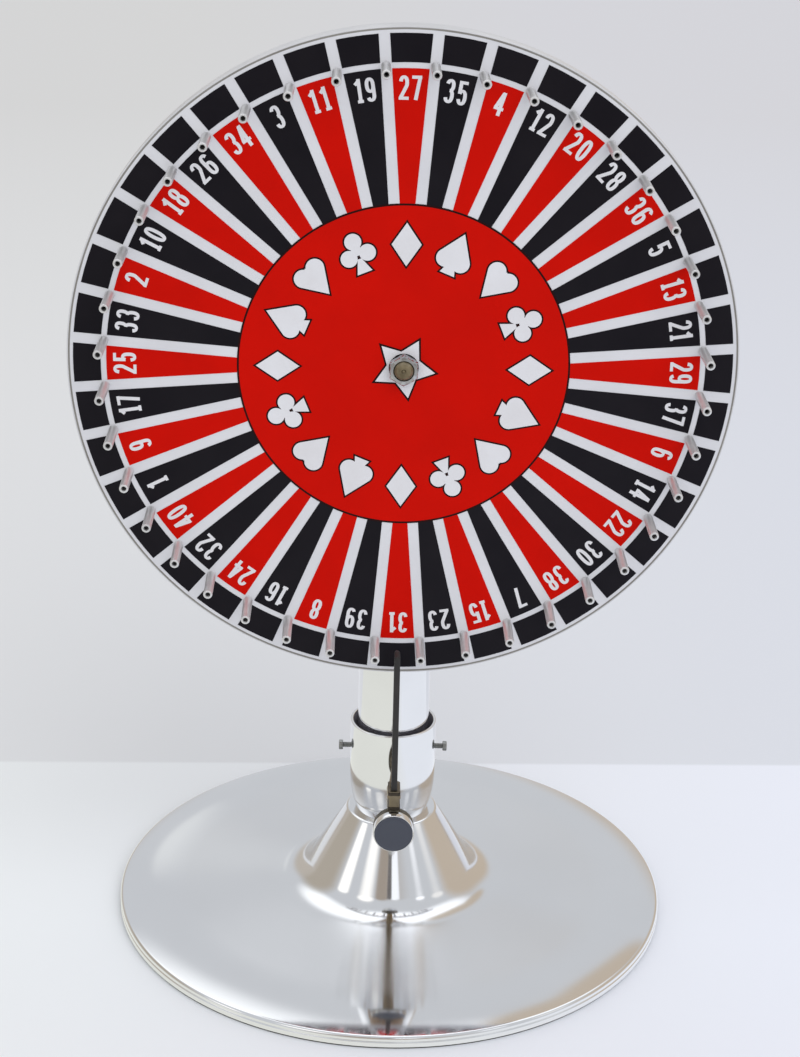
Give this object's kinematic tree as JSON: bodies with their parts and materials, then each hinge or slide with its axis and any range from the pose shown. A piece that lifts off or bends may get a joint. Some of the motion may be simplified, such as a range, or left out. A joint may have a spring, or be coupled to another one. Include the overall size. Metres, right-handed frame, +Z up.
{
  "type": "tabletop carnival game wheel",
  "caption": "Pegged carnival game wheel that spins on a chrome mast above a round trumpet base, with a leather flapper on a clamped post to click past the pegs and mark the stop.",
  "frame": {"origin": "middle of the round base, at the level of the table that its rubber ring stands on", "axes": "+Z up along the mast; -Y is the way the wheel's numbered face looks; +X is to the right of a person facing the wheel"},
  "size_m": [0.4319, 0.397, 0.642],
  "materials": {
    "chrome": "bright plated steel, lightly handled",
    "ballast": "cast concrete, rough underneath",
    "rubber": "matt black",
    "zinc_steel": "zinc plated",
    "bearing_steel": "ground and oiled",
    "yellow_zinc": "yellow zinc plated steel, worn",
    "black_plastic": "moulded, satin",
    "board": "bare plywood, sanded",
    "white_sheet": "white laminate, glossy",
    "edge_plastic": "pale grey band",
    "red_print": "printed red under a gloss coat",
    "black_print": "printed black under a gloss coat",
    "white_print": "printed white under a gloss coat",
    "peg_metal": "polished tube",
    "hub_metal": "turned",
    "post_brass": "turned, slightly tarnished",
    "ferrule_brass": "browned with age",
    "leather": "black harness leather, edges dyed",
    "knob_plastic": "dark slate, satin"
  },
  "bodies": {
    "stand": {"base_shell": "chrome", "base_ballast": "ballast", "floor_ring": "rubber", "tie_bolt": "zinc_steel", "tie_washer": "zinc_steel", "neck_collar": "chrome", "clamp_screws": "zinc_steel", "mast_tube": "chrome", "mast_cap": "black_plastic", "axle_bolt": "yellow_zinc", "saddle_washer": "zinc_steel", "axle_spacer": "zinc_steel", "inner_rings": "bearing_steel", "ring_spacer": "zinc_steel", "hub_washer": "zinc_steel", "axle_nut": "zinc_steel", "flapper_post": "post_brass", "flapper_holder": "ferrule_brass", "holder_rivets": "ferrule_brass", "flapper_root": "leather"},
    "wheel": {"wheel_board": "board", "face_sheet": "white_sheet", "edge_band": "edge_plastic", "red_panels": "red_print", "black_panels": "black_print", "rim_cells": "black_print", "hub_disc": "red_print", "star": "white_print", "pegs": "peg_metal", "peg_screws": "zinc_steel", "hub_flange": "hub_metal", "flange_bolts": "zinc_steel", "outer_rings": "bearing_steel", "bearing_balls": "bearing_steel"},
    "flapper": {"flapper_blade": "leather"},
    "knob": {"knob_body": "chrome", "knob_face": "knob_plastic"}
  },
  "joints": [
    {"name": "wheel_spin", "type": "hinge", "parent": "stand", "child": "wheel", "pos_m": [0, -0.056, 0.426], "axis": [0, 1, 0], "continuous": true},
    {"name": "flapper_flex", "type": "hinge", "parent": "stand", "child": "flapper", "pos_m": [0, -0.0807, 0.1335], "axis": [0, 1, 0], "range_deg": [-15, 15], "stiffness_Nm_per_rad": 0.15},
    {"name": "knob_turn", "type": "hinge", "parent": "stand", "child": "knob", "pos_m": [0, -0.09, 0.1025], "axis": [0, -1, 0], "range_deg": [0, 360]}
  ]
}
